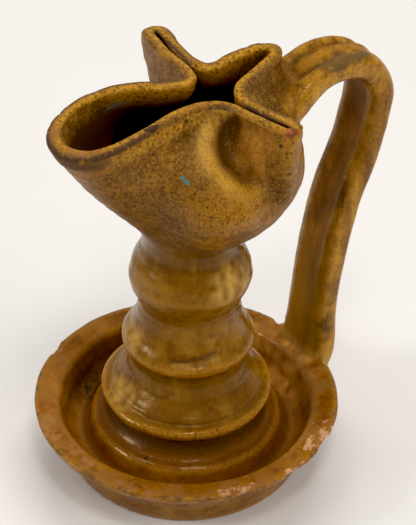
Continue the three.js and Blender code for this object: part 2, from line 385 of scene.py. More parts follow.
def grain(points, size, seed, rise=1.0):
    """Smooth noise between -rise and rise with features of about that size."""
    scaled = points / size
    cell = np.floor(scaled)
    part = ease(scaled - cell)
    cell = cell.astype(np.int64)
    total = np.zeros(points.shape[:-1])
    for corner in np.ndindex(2, 2, 2):
        weight = np.ones(points.shape[:-1])
        for axis in range(3):
            weight = weight * (part[..., axis] if corner[axis] else 1 - part[..., axis])
        total += weight * lattice(cell + corner, seed)
    return rise * (2 * total - 1)


# Turned body and pinched bowl as one skin

def between(start, end, shares):
    return [(lerp(start[0], end[0], across), lerp(start[1], end[1], up)) for across, up in shares]


def skirted_bead(below, bead, above):
    """Bead with an undercut lip and a skirt that runs up into the neck above it."""
    return [*between(below, bead, UNDERCUT), bead, *between(bead, above, SKIRT)]


def pedestal_outline():
    stations = [
        *SAUCER_OUTLINE, GROOVE, *skirted_bead(GROOVE, LOWER_BEAD, LOWER_NECK), LOWER_NECK,
        *skirted_bead(LOWER_NECK, MIDDLE_BEAD, UPPER_NECK), UPPER_NECK, *TOP_BEAD, STEM_TOP,
    ]
    outline = np.vstack([even_points(UNDERSIDE, UNDERSIDE_SPACING), even_points(stations, OUTLINE_SPACING)])
    for height, half, rise in TURNED_LINES:
        on_stem = outline[:, 0] < STEM_REACH
        outline[:, 0] += on_stem * rise * (1 - ease(np.abs(outline[:, 1] - height) / half))
    return outline


def pedestal_rows(around, clay):
    """Rings of the saucer and stem, whose columns turn into the bowl's towards the top."""
    rows = []
    for radius, height in pedestal_outline():
        angle = np.radians(lerp(360 * around, clay, beyond(height, DRAWN_Z)))
        ring = [radius * np.sin(angle), -radius * np.cos(angle), np.full_like(angle, height)]
        rows.append(np.stack(ring, -1))
    return np.array(rows)


def dent_depth(angle, z):
    """Depth of the dents that a finger and thumb left in both sides of the cup."""
    depth = np.zeros(np.broadcast(angle, z).shape)
    sine, cosine = math.sin(DENT["slope"]), math.cos(DENT["slope"])
    rise = z - DENT["height"]
    for side, middle in ((1, DENT["angle"]), (-1, 360 - DENT["angle"])):
        across = side * np.radians(angle - middle) * CUP_BELLY_RADIUS
        along = across * sine - rise * cosine
        aside = across * cosine + rise * sine
        narrow = 1 - ease(np.abs(aside) / DENT["half_width"])
        depth += DENT["depth"] * narrow * (1 - ease(np.abs(along) / DENT["half_length"]))
    return depth


def clay_angle(around):
    """Angle of the clay that is drawn to each share of the way around the lip."""
    even = 360 * np.arange(len(PINCHED_LIP)) / len(PINCHED_LIP)
    drawn = np.array([row[3] for row in PINCHED_LIP]) - even
    return spline(drawn[:, None], around, closed=True)[..., 0] + 360 * np.mod(around, 1)


def wall_middle(around, up):
    """Middle of the bowl's wall: share around the lip, share up from the cup's foot to the lip."""
    lip = spline([row[:3] for row in PINCHED_LIP], around, closed=True)
    clay = clay_angle(around)
    cup = spline(CUP_OUTLINE, up)
    radius, z = cup[..., 0], cup[..., 1]
    pinch = beyond(z, PINCH_Z)
    rounded = (1 - pinch) * (radius - dent_depth(clay, z))
    rise = np.clip((z - CUP_FOOT_Z) / (LIP_HEIGHT - CUP_FOOT_Z), 0, 1)
    straight = (1 - rise) * np.minimum(radius, CUP_OUTLINE[1][0]) + SPOUT_BULGE * np.sin(np.pi * rise)
    spout = beyond(-lip[..., 1], SPOUT_Y)
    reach = lerp(rounded, straight, spout)
    share = lerp(pinch, rise, spout)
    angle = np.radians(clay)
    x = np.sin(angle) * reach + lip[..., 0] * share
    y = -np.cos(angle) * reach + lip[..., 1] * share
    return np.stack([x, y, z + lip[..., 2] * ease(rise)], -1)


def wall_frame(around, up):
    """Middle of the wall with its outward and upward directions."""
    step = 0.002
    side = wall_middle(around + step, up) - wall_middle(around - step, up)
    high = wall_middle(around, np.minimum(up + step, 1))
    upward = unit(high - wall_middle(around, np.maximum(up - step, 0)))
    return wall_middle(around, up), unit(np.cross(side, upward)), upward


def wall_rows(around, heights, side):
    """Rings on one face of the bowl's wall: side is 1 outside and -1 inside."""
    rows = []
    for up in heights:
        middle, outward, _ = wall_frame(around, np.full_like(around, up))
        rows.append(middle + side * outward * BOWL_WALL / 2)
    return rows


def bowl_rows(around):
    """Rings up the bowl's outside, over its lip and down its inside, with what each ring is."""
    rows = wall_rows(around, np.linspace(BOWL_FROM, 1, OUTSIDE_ROWS), 1)
    kinds = ["outside"] * OUTSIDE_ROWS
    middle, outward, upward = wall_frame(around, np.ones_like(around))
    for turn in np.linspace(0, math.pi, LIP_ROWS + 2)[1:-1]:
        side = math.copysign(abs(math.cos(turn)) ** LIP["side_power"], math.cos(turn))
        rise = LIP["rise"] * math.sin(turn) ** LIP["crown_power"]
        rows.append(middle + BOWL_WALL / 2 * (side * outward + rise * upward))
        kinds.append("lip_out" if turn < math.pi * LIP["outer"] else "lip_in")
    rows += wall_rows(around, np.linspace(1, INSIDE_FROM, INSIDE_ROWS), -1)
    last = rows[-1]
    for share in np.linspace(0, 1, FLOOR_ROWS + 1)[1:-1]:
        ring = last * [1 - share, 1 - share, 1]
        ring[:, 2] += (CUP_FLOOR_Z - last[:, 2]) * share
        rows.append(ring)
    kinds += ["inside"] * (len(rows) - len(kinds))
    return np.array(rows), kinds


def smooth_rows(rows, low, high, passes):
    """Softens the rows between two indices up and down each column."""
    for _ in range(passes):
        rows[low:high] = rows[low:high] / 2 + (rows[low - 1:high - 1] + rows[low + 1:high + 1]) / 4


def lean_over(points, share=1):
    """Points moved by a share of the lamp's lean."""
    height = np.maximum(points[..., 2:] - LEAN_FROM, 0)
    return points + share * height * LEAN


def ring_faces(row_count, column_count):
    """Quads between neighbouring rings, then fans to a first and a last point."""
    column = np.arange(column_count)
    beside = np.roll(column, -1)
    low = np.arange(row_count - 1)[:, None] * column_count
    high = low + column_count
    quads = np.stack([low + column, low + beside, high + beside, high + column], -1)
    first = np.full(column_count, row_count * column_count)
    top = (row_count - 1) * column_count
    fans = np.array([[first, beside, column], [first + 1, top + column, top + beside]])
    return quads.reshape(-1, 4).tolist() + fans.transpose(2, 0, 1).reshape(-1, 3).tolist()


def link(name, data):
    obj = bpy.data.objects.new(name, data)
    bpy.context.scene.collection.objects.link(obj)
    return obj


def closed_tube(name, rows, first, last):
    """Mesh object from rings of points, closed by a first and a last point."""
    points = np.vstack([rows.reshape(-1, 3), [first], [last]])
    mesh = bpy.data.meshes.new(name)
    mesh.from_pydata((lean_over(points) * MM).tolist(), [], ring_faces(len(rows), rows.shape[1]))
    return link(name, mesh)


def make_body():
    """Saucer, stem and bowl, with their rings of points and the kind of each ring."""
    around = np.arange(COLUMNS) / COLUMNS
    pedestal = pedestal_rows(around, clay_angle(around))
    bowl, kinds = bowl_rows(around)
    rows = np.concatenate([pedestal, bowl])
    join = len(pedestal)
    smooth_rows(rows, join - JOIN_ROWS, join + JOIN_ROWS, JOIN_PASSES)
    kinds = ["pedestal"] * join + kinds
    return closed_tube("lamp_body", rows, (0, 0, UNDERSIDE[0][1]), (0, 0, CUP_FLOOR_Z)), rows, kinds


# Strap handle

def make_strap():
    """Strap from the bowl's back to the saucer, with finger grooves outside and a hollow inside."""
    route = even_points(HANDLE_ROUTE, ROUTE_SPACING)
    index = np.linspace(0, len(route) - 1, STRAP_STEPS)
    middle = resample(index, np.arange(len(route)), route)
    tangent = unit(np.gradient(middle, axis=0))
    along = np.linspace(0, 1, STRAP_STEPS)[:, None]
    root = ROOT_SPREAD * (1 - beyond(along, ROOT_ENDS))
    width = HANDLE_WIDTH * (1 + root + FOOT_SPREAD * beyond(along, FOOT_SPREADS))
    thickness = HANDLE_THICKNESS * (1 - TAIL_THINNING * beyond(along, TAIL_THINS))
    angle = 2 * np.pi * np.arange(STRAP_SIDES)[None] / STRAP_SIDES
    cosine, sine = np.cos(angle), np.sin(angle)
    x = -np.sign(cosine) * np.abs(cosine) ** STRAP_EDGE_POWER * width / 2
    off = np.sign(sine) * np.abs(sine) ** STRAP_FACE_POWER * thickness / 2
    fade = 1 - beyond(along, GROOVES_END)
    for place in HANDLE_GROOVES:
        off -= (sine > 0) * GROOVE_DEPTH * fade * hump(x - place, GROOVE_RADIUS)
    off += (sine < 0) * INNER_HOLLOW * hump(x, INNER_HALF_WIDTH) * window(along, *INNER_SPAN)
    y = middle[:, :1] - off * tangent[:, 1:]
    z = middle[:, 1:] + off * tangent[:, :1]
    rows = np.stack([x, y, z], -1)
    return closed_tube("lamp_strap", rows, (0, *middle[0]), (0, *middle[-1])), rows


# One fired piece

def rows_of(items, field, width, number=float):
    """One field of a mesh's items as rows of numbers."""
    flat = np.empty(len(items) * width, dtype=number)
    items.foreach_get(field, flat)
    return flat.reshape(-1, width)


def points_of(mesh):
    return rows_of(mesh.vertices, "co", 3) / MM


def normals_of(mesh):
    return rows_of(mesh.vertex_normals, "vector", 3)


def edges_of(mesh):
    return rows_of(mesh.edges, "vertices", 2, np.int32)


def set_points(mesh, points):
    mesh.vertices.foreach_set("co", (points * MM).ravel())
    mesh.update()


def neighbour_mean(values, edges):
    ends, others = edges.ravel(), edges[:, ::-1].ravel()
    columns = values.reshape(len(values), -1).T
    total = np.array([np.bincount(ends, column[others], len(values)) for column in columns])
    count = np.bincount(ends, minlength=len(values))
    return (total / np.maximum(count, 1)).T.reshape(values.shape)


def settle(values, edges, passes, weight=1.0):
    """Values smoothed over the mesh, by up to half the way to their neighbours in each pass."""
    for _ in range(passes):
        values = values + weight / 2 * (neighbour_mean(values, edges) - values)
    return values


def nearest(source, points):
    """Index and distance of the source point nearest to each point."""
    tree = KDTree(len(source))
    for index, point in enumerate(source):
        tree.insert(point, index)
    tree.balance()
    found = [tree.find(point) for point in points]
    return np.array([item[1] for item in found]), np.array([item[2] for item in found])


def join_pieces(body, strap):
    """Both skins as one closed mesh."""
    modifier = body.modifiers.new("join", "BOOLEAN")
    modifier.operation = "UNION"
    modifier.solver = "MANIFOLD"
    modifier.object = strap
    graph = bpy.context.evaluated_depsgraph_get()
    mesh = bpy.data.meshes.new_from_object(body.evaluated_get(graph))
    mesh.name = "lamp_glazed"
    bpy.data.objects.remove(body)
    bpy.data.objects.remove(strap)
    return link("lamp_glazed", mesh)


def soften_seam(mesh, gap):
    """Rounds the seam between strap and body, where new points lie away from both skins' own points."""
    points = points_of(mesh)
    _, away = nearest(points[gap > SEAM_GAP], points)
    weight = (1 - ease(away / FILLET_RADIUS))[:, None]
    set_points(mesh, settle(points, edges_of(mesh), FILLET_PASSES, weight))


def fired_piece():
    """The joined lamp. Each point: whether it is the strap's, its kind of ring, its rows below the lip."""
    body, body_rows, kinds = make_body()
    strap, strap_rows = make_strap()
    source = lean_over(np.vstack([body_rows.reshape(-1, 3), strap_rows.reshape(-1, 3)]))
    body_count = body_rows.shape[0] * COLUMNS
    piece = join_pieces(body, strap)
    index, gap = nearest(source, points_of(piece.data))
    soften_seam(piece.data, gap)
    on_strap = (index >= body_count).astype(float)
    row = np.minimum(index, body_count - 1) // COLUMNS
    return piece, on_strap, np.array(kinds)[row], kinds.index("lip_out") - row


# Places on the fired piece

def sight_frame(turn=VIEW_TURN, rise=VIEW_RISE):
    """Directions right, up and back for a view of the lamp from that turn and rise."""
    a, e = math.radians(turn), math.radians(rise)
    back = np.array([math.sin(a) * math.cos(e), -math.cos(a) * math.cos(e), math.sin(e)])
    right = np.array([math.cos(a), math.sin(a), 0])
    return right, np.cross(back, right), back


def distance_to(places, start, end):
    """Distance of points in a plane from a straight line between two of them."""
    run = np.subtract(end, start)
    share = np.clip((places - start) @ run / (run @ run), 0, 1)
    return np.linalg.norm(places - start - share[:, None] * run, axis=1)


def ball(points, middle, reach, seed, rough=PATCH_ROUGH):
    """1 at a place, falling to 0 at a ragged distance from it."""
    away = np.linalg.norm((points - middle) / reach, axis=1)
    return 1 - ease(away + rough * grain(points, PATCH_GRAIN, seed))


def balls(points, places):
    return strongest(ball(points, *place) for place in places)


def rim_patches(skin, patches):
    """1 on patches of the saucer's rim, falling to 0 at their ragged edges."""
    masks = []
    for angle, half_angle, radius, half_width, seed in patches:
        across = np.hypot((skin.angle - angle) / half_angle, (skin.radius - radius) / half_width)
        ragged = across + RIM_PATCH_ROUGH * grain(skin.plain, RIM_PATCH_GRAIN, seed)
        masks.append(beyond(skin.z, RIM_PATCH_Z) * (1 - beyond(ragged, RIM_PATCH_EDGE)))
    return strongest(masks)


def seam_line(points, start, end):
    """1 along a straight seam in plan, falling to 0 beside it."""
    away = distance_to(points[:, :2], start, end)
    return (1 - ease(away / SEAM_WIDTH)) * beyond(points[:, 2], SEAM_Z)


def press_thumb(mesh, outside):
    """Pushes a thumb's dent into the bowl, crisp on its left, and gives its ridge, crease and floor."""
    points = points_of(mesh)
    right, up, back = sight_frame()
    away = points - PRESS_MIDDLE
    across, height, near = away @ right, away @ up, away @ back
    places = np.stack([across, height], -1)
    reach = np.linalg.norm((places - PRESS_EDGE["middle"]) / PRESS_EDGE["reach"], axis=1)
    leftward = 1 - beyond(across, PRESS_LEFT_HALF)
    drop = leftward * (1 - beyond(reach, PRESS_EDGE["drop"]))
    hollow = bell(across, *PRESS_HOLLOW["across"]) * bell(height, *PRESS_HOLLOW["up"])
    past_edge = (reach - 1) * PRESS_EDGE["reach"][0]
    ridge = leftward * bell(past_edge, *PRESS_RIDGE["past_edge"])
    column = bell(across, *PRESS_COLUMN["across"]) * window(height, *PRESS_COLUMN["up"])
    travel = PRESS_RIDGE["rise"] * ridge + PRESS_COLUMN["rise"] * column
    travel += hollow * grain(points, *PRESS_FLOOR_GRAIN)
    travel -= PRESS_DEPTH * drop + PRESS_HOLLOW["depth"] * hollow
    for line in (PRESS_CHANNEL, PRESS_FOLD):
        beside = distance_to(places, line["from"], line["to"])
        travel -= line["depth"] * bell(beside + grain(points, *PRESS_LINE_GRAIN), 0, line["width"])
    where = outside * window(near, *PRESS_NEARNESS)
    points += (where * travel)[:, None] * back
    soft = (where * (1 - beyond(reach, PRESS_SOFT_EDGE)))[:, None]
    set_points(mesh, settle(points, edges_of(mesh), PRESS_SOFT_PASSES, soft))
    # The crease mask is used for painted shade along the dent's crisp left edge
    crease = leftward * bell(past_edge, *PRESS_CREASE)
    floor = bell(across, *PRESS_FLOOR["across"]) * (1 - beyond(reach, PRESS_FLOOR["edge"]))
    return where * ridge, where * crease, where * floor


class Skin:
    """Points of the fired piece, with the place of each one on the lamp."""

    def __init__(self, piece, on_strap, kind, below_lip):
        self.piece = piece
        self.mesh = piece.data
        self.edges = edges_of(self.mesh)
        self.kind = kind
        off_strap = 1 - on_strap
        outside = self.rows("outside") * off_strap
        self.ridge, self.crease, self.dented = press_thumb(self.mesh, outside)
        self.points = points_of(self.mesh)
        self.plain = lean_over(self.points, -1)
        self.z = self.plain[:, 2]
        self.angle = np.degrees(np.arctan2(self.plain[:, 0], -self.plain[:, 1]))
        self.radius = np.hypot(self.plain[:, 0], self.plain[:, 1])
        self.strap = self.soft(on_strap, 6)
        self.body = 1 - self.strap
        self.turned = self.body * self.rows("pedestal", "outside")
        self.inside = self.soft(self.rows("inside") * off_strap, 2)
        self.lip_out = self.soft(self.rows("lip_out") * off_strap, 1)
        self.lip_in = self.soft(self.rows("lip_in") * off_strap, 1)
        self.front = window(self.angle, *FRONT_ANGLES) * (self.plain[:, 1] < FRONT_Y)
        self.collar = self.soft(outside * window(below_lip, *COLLAR_ROWS), 1) * self.front
        singed = outside * window(below_lip, *SINGED_ROWS) * window(self.angle, *SINGED_ANGLES)
        self.singed = self.soft(singed, 1)
        groove = bell(below_lip, -LIP_ROWS - LIP_GROOVE["rows"], LIP_GROOVE["width"])
        self.lip_groove = self.body * self.rows("inside") * self.front * groove

    def rows(self, *kinds):
        """Whether each point's ring is one of these kinds."""
        return np.isin(self.kind, kinds)

    def soft(self, values, passes):
        return settle(values, self.edges, passes)


# Relief and painted masks

def broken_places(skin):
    """Chips, nicks and the scar, each from 0 to 1."""
    points = skin.points
    along = (skin.angle - SCAR["from"]) / (SCAR["to"] - SCAR["from"])
    under = SCAR["height"] + SCAR["rise"] * np.clip(along, 0, 1) - skin.z + grain(points, *SCAR["grain"])
    on_scar = window(along, *SCAR["ends"]) * (skin.radius < SCAR["within"]) * skin.body
    return {
        "chips": rim_patches(skin, RIM_CHIPS),
        "ear": ball(skin.plain, *EAR_CHIP, EAR_CHIP_ROUGH),
        "nicks": skin.lip_out * np.maximum(grain(points, *NICKS["grain"]) - NICKS["above"], 0),
        "scar": on_scar * ease(under / SCAR["edge"]) * np.clip(1 - under / SCAR["tall"], 0, 1),
        "scar_line": on_scar * bell(under, *SCAR["line"]),
        "scar_lip": on_scar * bell(under, SCAR["tall"], SCAR["lip_width"]),
    }


def raise_relief(skin, broken):
    """Moves the skin by its unevenness, ripples and breaks, and gives the hollows that result."""
    points, mesh = skin.points, skin.mesh
    relief = sum(grain(points, *row) for row in SKIN_GRAIN)
    relief += skin.strap * grain(points, *STRAP_GRAIN) + COLLAR_RISE * skin.collar
    ripple = np.sin(2 * np.pi * skin.z / THROWING["pitch"] + grain(points, *THROWING["drift"]))
    relief += THROWING["rise"] * skin.turned * ripple
    relief -= LIP_GROOVE["depth"] * skin.lip_groove
    relief *= ease(skin.z / FLAT_FOOT)
    relief -= CHIP_DEPTH * broken["chips"] + EAR_CHIP_DEPTH * broken["ear"]
    relief -= NICKS["depth"] * broken["nicks"] + SCAR["deep"] * broken["scar"]
    relief += SCAR["lip"] * broken["scar_lip"]
    shaped = points + normals_of(mesh) * relief[:, None]
    shaped[:, 2] = np.maximum(shaped[:, 2], 0)
    set_points(mesh, shaped)
    sunk = (skin.soft(shaped, HOLLOW_PASSES) - shaped) * normals_of(mesh)
    return skin.soft(np.sum(sunk, axis=1), 2) / HOLLOW_DEPTH


def saucer_masks(skin):
    plain, z, radius, body = skin.plain, skin.z, skin.radius, skin.body
    ring = (1 - beyond(radius, RING_RADIUS)) * (1 - beyond(z, RING_Z))
    bead_lip = 0.6 * bell(z, *BEAD_LIP_Z) * window(radius, *BEAD_LIP_RADII)
    outer = beyond(radius, OUTER_RADIUS) * (1 - beyond(z, OUTER_Z))
    return {
        "saucer": body * (1 - beyond(z, SAUCER_Z)),
        "underside": 1 - beyond(z, UNDERSIDE_Z),
        "outer": body * outer * skin.rows("pedestal"),
        "rim": body * beyond(radius, RIM_RADIUS) * beyond(z, RIM_Z),
        "rim_edge": body * beyond(radius, RIM_EDGE_RADIUS) * beyond(z, RIM_EDGE_Z),
        "wear": rim_patches(skin, RIM_WEAR),
        "ring": body * np.maximum(ring, bead_lip),
        # Painted light at the back of the well
        "painted_light_well": body * ball(plain, *PAINTED_LIGHT_WELL),
        # Painted shade on the left side of the well
        "well_shade": body * ball(plain, *WELL_SHADE),
        "dirt": ball(plain, *WELL_DIRT),
    }


def stem_masks(skin, broken):
    z, radius = skin.z, skin.radius
    # The gap mask is painted shade in the groove under the lower bead, at the corner of the well's floor
    # and in the groove inside the lip
    groove = bell(z, *BASE_GROOVE_Z) * (radius < BASE_GROOVE_WITHIN)
    corner = bell(radius, *WELL_CORNER_RADIUS) * (z < WELL_CORNER_BELOW)
    painted_gap_shade = skin.body * skin.rows("pedestal") * np.maximum(groove, 0.7 * corner)
    # The neck mask is painted shade under the bowl, and darkens the bowl's lower part
    neck = np.maximum(bell(z, *STEM_NECK_Z), 0.8 * bell(z, *BOWL_FOOT_Z))
    return {
        "gap": np.maximum(painted_gap_shade, 0.6 * skin.lip_groove),
        "neck": skin.turned * neck,
        # Painted shade along the scar's undercut top edge and in the dent's crease
        "scar": np.maximum(broken["scar_line"], 0.7 * skin.crease),
        # Pale worn clay in the scar, paler along the press's ridge, and painted light on spots of the stem
        "pale_and_painted_light": strongest([0.8 * broken["scar"], skin.ridge, balls(skin.plain, PAINTED_LIGHT_SPOTS)]),
    }


def bowl_masks(skin, broken):
    plain, z = skin.plain, skin.z
    # Darker glaze deeper inside the bowl, and inside the ears
    deep = np.maximum(1 - beyond(z, INSIDE_DEPTH_Z), 0.3 * beyond(np.abs(plain[:, 0]), EAR_X))
    patches = beyond(grain(skin.points, *LIP_PATCHES), LIP_PATCHES_FROM)
    tip = window(skin.angle, *TIP_ANGLES) * skin.front
    on_lip = skin.lip_out * np.maximum(tip, 0.45 * patches)
    seams = strongest(seam_line(plain, *ends) for ends in EAR_SEAMS)
    return {
        "bowl": skin.body * beyond(z, BOWL_Z),
        "inside_depth": skin.inside * deep,
        "scorch": strongest([on_lip, 0.9 * skin.singed, seams]),
        "bare": np.maximum(broken["chips"], broken["ear"]),
        "pitted": ball(plain, *EAR_PITS),
        "dented": skin.dented,
    }


def strap_masks(skin):
    plain, strap = skin.plain, skin.strap
    # The strap's inner face, which faces the bowl, gets painted shade
    facing_in = skin.soft(strap * (normals_of(skin.mesh)[:, 1] < STRAP_INNER_FACING), 3)
    golden_and_lit_streak = strap * balls(plain, STRAP_GOLD_AND_LIGHT)
    return {
        "strap": strap,
        "strap_inner_shade": facing_in * (1 - beyond(np.abs(plain[:, 0]), STRAP_INNER_X)),
        "strap_low_painted_light": strap * (1 - beyond(skin.z, STRAP_PAINTED_LIGHT_Z)),
        "strap_stain": strap * ball(plain, *STRAP_STAIN),
        "scuffed": strap * balls(plain, STRAP_SCUFFS),
        # Golden glaze on the inner lip, the collar, the press ridge and the strap's top, with painted light
        # on the strap's root
        "gold_and_painted_light": strongest([skin.lip_in, 0.8 * skin.collar, 0.6 * skin.ridge, golden_and_lit_streak]),
    }


def finish_skin(skin):
    """Relief, and the masks that the glaze reads from the mesh."""
    broken = broken_places(skin)
    masks = {
        "hollow": raise_relief(skin, broken), **saucer_masks(skin), **stem_masks(skin, broken),
        **bowl_masks(skin, broken), **strap_masks(skin),
    }
    for name, values in masks.items():
        layer = skin.mesh.attributes.new(name, "FLOAT", "POINT")
        layer.data.foreach_set("value", np.clip(values, -1, 1).astype(np.float32))


# Stage and camera

def make_camera():
    right, up, back = sight_frame()
    target = right * VIEW_TARGET[0] + (0, 0, VIEW_TARGET[1])
    level = Matrix((right, up, back)).transposed()
    rolled = level @ Matrix.Rotation(math.radians(VIEW_ROLL), 3, "Z")
    data = bpy.data.cameras.new("camera")
    data.sensor_fit = "VERTICAL"
    data.sensor_height = SENSOR_HEIGHT
    data.lens = SENSOR_HEIGHT * FOCAL_PIXELS / PHOTO_HEIGHT
    camera = link("camera", data)
    camera.matrix_world = Matrix.Translation((target + back * VIEW_DISTANCE) * MM) @ rolled.to_4x4()
    bpy.context.scene.camera = camera


def make_floor():
    mesh = bpy.data.meshes.new("floor")
    corners = [(x * FLOOR_HALF, y * FLOOR_HALF, 0) for x, y in ((-1, -1), (1, -1), (1, 1), (-1, 1))]
    mesh.from_pydata(corners, [], [(0, 1, 2, 3)])
    floor = link("floor", mesh)
    material = bpy.data.materials.new("floor_paper")
    material.use_nodes = True
    shader = material.node_tree.nodes["Principled BSDF"]
    shader.inputs["Base Color"].default_value = FLOOR_COLOUR
    shader.inputs["Roughness"].default_value = FLOOR_ROUGHNESS
    mesh.materials.append(material)


def make_light(name, turn, rise, distance, width, height, power, in_gloss):
    data = bpy.data.lights.new(name, "AREA")
    data.shape = "RECTANGLE"
    data.size = width
    data.size_y = height
    data.energy = power
    light = link(name, data)
    direction = Vector(sight_frame(VIEW_TURN + turn, rise)[2])
    light.location = direction * distance + Vector(LIGHT_TARGET)
    light.rotation_euler = direction.to_track_quat("Z", "Y").to_euler()
    light.visible_glossy = in_gloss


def make_stage():
    make_floor()
    for name, light in LIGHTS.items():
        make_light(name, *light)
    world = bpy.data.worlds.new("studio")
    bpy.context.scene.world = world
    world.use_nodes = True
    background = world.node_tree.nodes["Background"]
    background.inputs["Color"].default_value = STUDIO_COLOUR
    background.inputs["Strength"].default_value = STUDIO_STRENGTH
    view = bpy.context.scene.view_settings
    view.view_transform = "Standard"
    view.use_curve_mapping = True
    view.curve_mapping.black_level = BLACK_POINT
    view.curve_mapping.update()


# Glaze

def tone(*screen):
    """Linear colour for screen values from 0 to 255."""
    linear = [((v / 255 + 0.055) / 1.055) ** 2.4 if v > 10 else v / 255 / 12.92 for v in screen]
    return (*linear, 1)


GOLD = tone(190, 138, 36)
THIN = tone(168, 114, 32)
DENTED = tone(176, 118, 46)
OCHRE_LIGHT = tone(146, 101, 38)
OCHRE = tone(104, 68, 25)
OCHRE_DARK = tone(66, 43, 16)
OLIVE_LIGHT = tone(152, 110, 34)
OLIVE = tone(120, 79, 15)
OLIVE_DARK = tone(88, 54, 8)
AMBER_LIGHT = tone(166, 106, 24)
AMBER = tone(136, 80, 10)
AMBER_DARK = tone(92, 50, 5)
STRAP_LIGHT = tone(178, 132, 46)
STRAP_MIDDLE = tone(142, 96, 26)
STRAP_DARK = tone(82, 52, 14)
# Dark brown of pooled glaze and dirt, also used for painted shade
POOLED_AND_SHADE = tone(44, 23, 5)
SPECK = tone(46, 29, 14)
MID_BROWN = tone(100, 62, 30)
DEEP_BROWN = tone(68, 41, 18)
RIM_CLAY = tone(138, 92, 42)
BARE_CLAY = tone(194, 144, 102)
RED_CLAY = tone(112, 62, 38)
ORANGE_CLAY = tone(158, 88, 48)
SCORCHED = tone(56, 41, 34)
TEAL = tone(72, 124, 120)
CHALK = tone(226, 216, 196)
MARK = tone(40, 27, 16)
GOUGED = tone(104, 96, 74)
WORN_EDGE = tone(88, 68, 36)
WORN_TAN = tone(148, 100, 54)
# Pale worn clay, and painted light on spots of the stem
PALE_AND_PAINTED_LIGHT = tone(188, 145, 68)
# Painted light at the back of the well
PAINTED_BACK_LIGHT = tone(212, 150, 70)
# Lighter amber for the saucer's hollows, as painted light
WELL_PAINTED_LIGHT = tone(146, 90, 22)
STAINED = tone(92, 72, 44)
# Painted shade for the scar's edge and the dent's crease
SCAR_EDGE_AND_CREASE_SHADE = tone(66, 36, 12)
GLOSS_TINT = tone(255, 224, 176)

# Gloss of the glaze, and the bump of its fine grit
GLOSS_LEVEL = 0.32
ROUGHNESS = 0.15
SATIN_ROUGHNESS = 0.22
CLOUDY_ROUGHNESS = 0.22
EDGE_SHINE = 0.12
DULL_ROUGHNESS = 0.8
STRAP_SATIN = 0.2
BUMP_STRENGTH = 0.45
BUMP_HEIGHT = 0.3

# Round marks as (colour, radius, middle)
ROUND_MARKS = [
    # Blue-green fleck on the bowl
    (TEAL, 1.3, (23.8, -19.2, 147.9)), (TEAL, 1.3, (24.6, -18.8, 147.1)), (TEAL, 1.2, (25.3, -18.4, 146.4)),
    # Chalky specks
    (CHALK, 0.8, (19, -29, 149.8)), (CHALK, 0.8, (13.2, -22.6, 119.6)),
    # Dark spots under the lip, on the ring and on the strap
    (MARK, 1.2, (13.6, -10.6, 162.4)), (MARK, 1, (17.1, -30.3, 18.6)), (MARK, 1.4, (0.7, 70.6, 114.3)),
    # Pits on the right ear
    (MARK, 1.3, (41.6, 11.6, 156.7)), (MARK, 1.5, (40.4, 17.9, 148.1)),
    (MARK, 1.1, (41, 13, 147.4)), (MARK, 1.2, (40, 9.2, 159.1)),
]
# Long marks as (colour, reach, middle, tilt): a dark spot on the lip, and a gouge inside the spout
LONG_MARKS = [
    (MARK, (2.6, 4, 1.6), (14, -25.6, 165), 0),
    (GOUGED, (3, 5.4, 1.5), (-14.4, -21.6, 158), 8),
]


